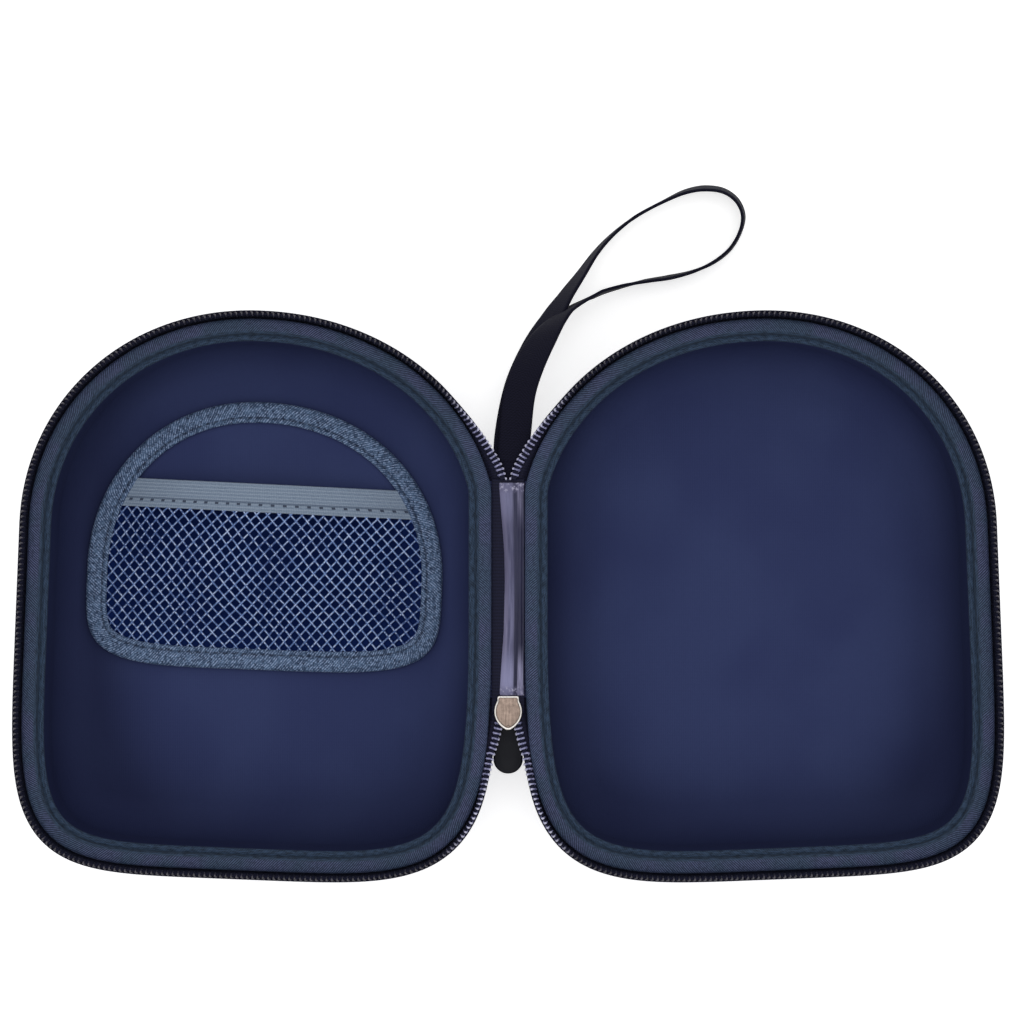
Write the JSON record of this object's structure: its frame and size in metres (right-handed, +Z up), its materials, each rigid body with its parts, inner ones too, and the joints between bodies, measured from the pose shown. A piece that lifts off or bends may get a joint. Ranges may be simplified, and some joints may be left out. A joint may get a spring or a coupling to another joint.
{
  "type": "headphone carrying case",
  "caption": "Hard-shell zipped case for headphones, lying open flat, with a mesh pocket in one half, a zipper slider with a rubber pull and a wrist strap at the spine",
  "frame": {"origin": "Centre of the footprint on the surface the open case lies on, on the spine's centre line (the wrist strap left out)", "axes": "+X from the pocket half to the plain half across the spine, +Y along the spine from the slider towards the strap, +Z up"},
  "size_m": [0.331, 0.2361, 0.0419],
  "materials": {
    "outer_fabric": "dark navy woven cover on the moulded shell",
    "foam": "moulded closed-cell EVA foam, hidden between skin and lining",
    "lining": "smooth navy jersey lining",
    "rim_binding": "slate-blue twill tape with diagonal ribs and a stitch line",
    "zipper_tape": "dark navy woven zipper tape",
    "zipper_coil": "dark navy polyester coil, slightly glossy",
    "pocket_mesh": "knitted mesh with diamond openings, lavender blue",
    "pocket_trim": "grey-blue stitched binding and ribbed elastic",
    "spine_satin": "wrinkled lilac-grey satin",
    "strap": "soft near-black webbing",
    "slider_metal": "champagne-grey metal with a bright raised edge",
    "pull_rubber": "near-black soft rubber, plain"
  },
  "bodies": {
    "base": {"base_outer_skin": "outer_fabric", "base_foam_shell": "foam", "base_lining": "lining", "base_rim_binding": "rim_binding", "base_zipper_tape": "zipper_tape", "base_zipper_coil": "zipper_coil", "pocket_backing": "lining", "pocket_mesh": "pocket_mesh", "pocket_elastic_band": "pocket_trim", "pocket_edge_binding": "pocket_trim"},
    "lid": {"lid_outer_skin": "outer_fabric", "lid_foam_shell": "foam", "lid_lining": "lining", "lid_rim_binding": "rim_binding", "lid_zipper_tape": "zipper_tape", "lid_zipper_coil": "zipper_coil"},
    "spine": {"spine_outer_fabric": "outer_fabric", "spine_inner_cover": "spine_satin", "strap_root": "strap", "wrist_strap": "strap", "zipper_foot_end_base_side": "zipper_coil", "zipper_top_end_base_side": "zipper_coil", "zipper_foot_end_lid_side": "zipper_coil", "zipper_top_end_lid_side": "zipper_coil"},
    "slider": {"slider_body": "slider_metal", "slider_bridge": "slider_metal"},
    "pull": {"pull_link": "slider_metal", "pull_grip": "pull_rubber"}
  },
  "joints": [
    {"name": "spine_hinge", "type": "hinge", "parent": "base", "child": "spine", "pos_m": [-0.0057, 0, 0.0366], "axis": [0, -1, 0], "range_deg": [0, 90]},
    {"name": "lid_hinge", "type": "hinge", "parent": "spine", "child": "lid", "pos_m": [0.0057, 0, 0.0366], "axis": [0, -1, 0], "range_deg": [0, 90]},
    {"name": "slider_travel", "type": "slide", "parent": "spine", "child": "slider", "axis": [0, -1, 0], "range_m": [0, 0.008]},
    {"name": "pull_swing", "type": "hinge", "parent": "slider", "child": "pull", "pos_m": [0, -0.0404, 0.0329], "axis": [1, 0, 0], "range_deg": [-8, 130]}
  ],
  "couplings": [
    {"joint": "lid_hinge", "follows": "spine_hinge", "ratio": 1}
  ]
}
